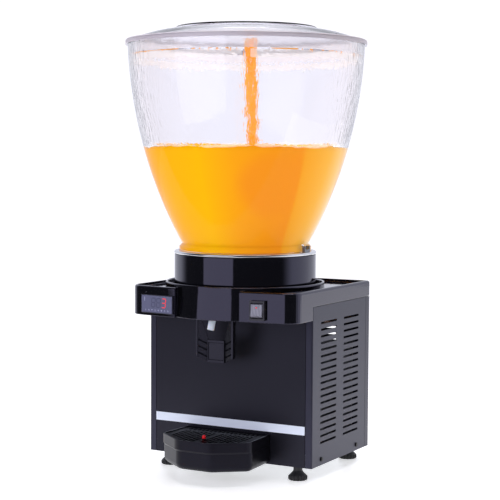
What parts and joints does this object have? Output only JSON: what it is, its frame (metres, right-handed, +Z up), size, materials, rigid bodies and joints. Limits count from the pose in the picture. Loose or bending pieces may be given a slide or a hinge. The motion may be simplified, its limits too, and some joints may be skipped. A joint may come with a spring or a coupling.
{
  "type": "cold drink dispenser",
  "caption": "Countertop cold drink dispenser: clear tapered bowl with a fountain jet on a vented refrigerated cabinet, push-back tap lever and lift-off drip tray.",
  "frame": {"origin": "on the floor, under the axis of the bowl", "axes": "+Z up along the bowl's axis, front of the machine towards -Y, +X to the viewer's right when facing it"},
  "size_m": [0.3756, 0.3756, 0.6917],
  "materials": {
    "galvanised_steel": "dull zinc",
    "front_paint": "satin charcoal powder coat",
    "side_paint": "satin grey powder coat",
    "stripe_film": "satin film",
    "black_abs": "high gloss",
    "foam": "open foam",
    "stainless": "polished",
    "copper": "drawn tube",
    "silicone": "soft translucent",
    "clear_polycarbonate": "clear moulded",
    "white_plastic": "food-safe moulding",
    "magnet": "sintered",
    "bright_steel": "ground",
    "motor_paint": "satin",
    "compressor_paint": "semi-gloss black",
    "rubber": "matt",
    "black_nylon": "fine texture",
    "aluminium": "mill finish",
    "lever_abs": "satin",
    "tray_abs": "satin",
    "red_plastic": "gloss",
    "switch_plastic": "satin",
    "display_lens": "tinted lens",
    "black_screw": "black zinc"
  },
  "bodies": {
    "cabinet": {"base_pan": "galvanised_steel", "front_panel": "front_paint", "accent_stripe": "stripe_film", "left_side_panel": "side_paint", "right_side_panel": "side_paint", "rear_panel": "side_paint", "top_plate": "galvanised_steel", "top_housing": "black_abs", "collar": "black_abs", "insulation": "foam", "evaporator_deck": "stainless", "evaporator_drum": "stainless", "evaporator_coil": "copper", "bowl_gasket": "silicone", "bowl_clips": "stainless", "pump_cover": "white_plastic", "pump_motor": "motor_paint", "compressor": "compressor_paint", "compressor_mounts": "rubber", "terminal_box": "black_nylon", "condenser_fins": "aluminium", "condenser_tube": "copper", "fan_shroud": "galvanised_steel", "fan_motor": "motor_paint", "fan_bracket": "galvanised_steel", "discharge_line": "copper", "suction_line": "copper", "liquid_line": "copper", "filter_drier": "copper", "drain_pipe": "stainless", "outlet_tube": "silicone", "tap_bracket": "black_nylon", "lever_pin": "bright_steel", "lever_spring": "bright_steel", "tray_bracket": "galvanised_steel", "switch_body": "switch_plastic", "controller_case": "switch_plastic", "controller_face": "display_lens", "cord_gland": "black_nylon", "foot_nuts": "bright_steel", "panel_screws": "black_screw"},
    "bowl": {"bowl": "clear_polycarbonate", "bowl_wall_top": "clear_polycarbonate"},
    "lid": {"lid": "clear_polycarbonate"},
    "tap_lever": {"tap_lever": "lever_abs"},
    "rocker": {"switch_rocker": "switch_plastic"},
    "tray": {"drip_tray": "tray_abs"},
    "grille": {"drip_grille": "tray_abs"},
    "float": {"float_indicator": "red_plastic"},
    "drive_rotor": {"drive_shaft": "bright_steel", "drive_magnet": "magnet"},
    "impeller": {"impeller": "white_plastic"},
    "fan_rotor": {"fan_shaft": "bright_steel", "fan_blade": "aluminium"},
    "foot_front_left": {"foot_front_left": "black_nylon"},
    "foot_front_right": {"foot_front_right": "black_nylon"},
    "foot_rear_left": {"foot_rear_left": "black_nylon"},
    "foot_rear_right": {"foot_rear_right": "black_nylon"}
  },
  "joints": [
    {"name": "bowl_lift", "type": "slide", "parent": "cabinet", "child": "bowl", "axis": [0, 0, 1], "range_m": [0, 0.2]},
    {"name": "lid_lift", "type": "slide", "parent": "bowl", "child": "lid", "axis": [0, 0, 1], "range_m": [0, 0.15]},
    {"name": "lever_push", "type": "hinge", "parent": "cabinet", "child": "tap_lever", "pos_m": [0, -0.078, 0.272], "axis": [1, 0, 0], "range_deg": [0, 15], "stiffness_Nm_per_rad": 1, "springref_deg": -20.05, "deforming": ["lever_spring"]},
    {"name": "switch_rock", "type": "hinge", "parent": "cabinet", "child": "rocker", "pos_m": [0.0876, -0.12059, 0.265], "axis": [0.9932, 0.1163, 0], "range_deg": [0, 16]},
    {"name": "tray_lift", "type": "slide", "parent": "cabinet", "child": "tray", "axis": [0, 0, 1], "range_m": [0, 0.06]},
    {"name": "grille_lift", "type": "slide", "parent": "tray", "child": "grille", "axis": [0, 0, 1], "range_m": [0, 0.05]},
    {"name": "float_rise", "type": "slide", "parent": "tray", "child": "float", "axis": [0, 0, 1], "range_m": [0, 0.008]},
    {"name": "drive_spin", "type": "hinge", "parent": "cabinet", "child": "drive_rotor", "pos_m": [0, 0, 0.3], "axis": [0, 0, 1], "continuous": true},
    {"name": "impeller_spin", "type": "hinge", "parent": "cabinet", "child": "impeller", "pos_m": [0, 0, 0.446], "axis": [0, 0, 1], "continuous": true},
    {"name": "fan_spin", "type": "hinge", "parent": "cabinet", "child": "fan_rotor", "pos_m": [0.0726, 0.041, 0.119], "axis": [1, 0, 0], "continuous": true},
    {"name": "foot_front_left_turn", "type": "hinge", "parent": "cabinet", "child": "foot_front_left", "pos_m": [-0.114, -0.037, 0.01], "axis": [0, 0, 1], "continuous": true},
    {"name": "foot_front_right_turn", "type": "hinge", "parent": "cabinet", "child": "foot_front_right", "pos_m": [0.114, -0.037, 0.01], "axis": [0, 0, 1], "continuous": true},
    {"name": "foot_rear_left_turn", "type": "hinge", "parent": "cabinet", "child": "foot_rear_left", "pos_m": [-0.114, 0.144, 0.01], "axis": [0, 0, 1], "continuous": true},
    {"name": "foot_rear_right_turn", "type": "hinge", "parent": "cabinet", "child": "foot_rear_right", "pos_m": [0.114, 0.144, 0.01], "axis": [0, 0, 1], "continuous": true}
  ],
  "couplings": [
    {"joint": "impeller_spin", "follows": "drive_spin", "ratio": 1}
  ]
}
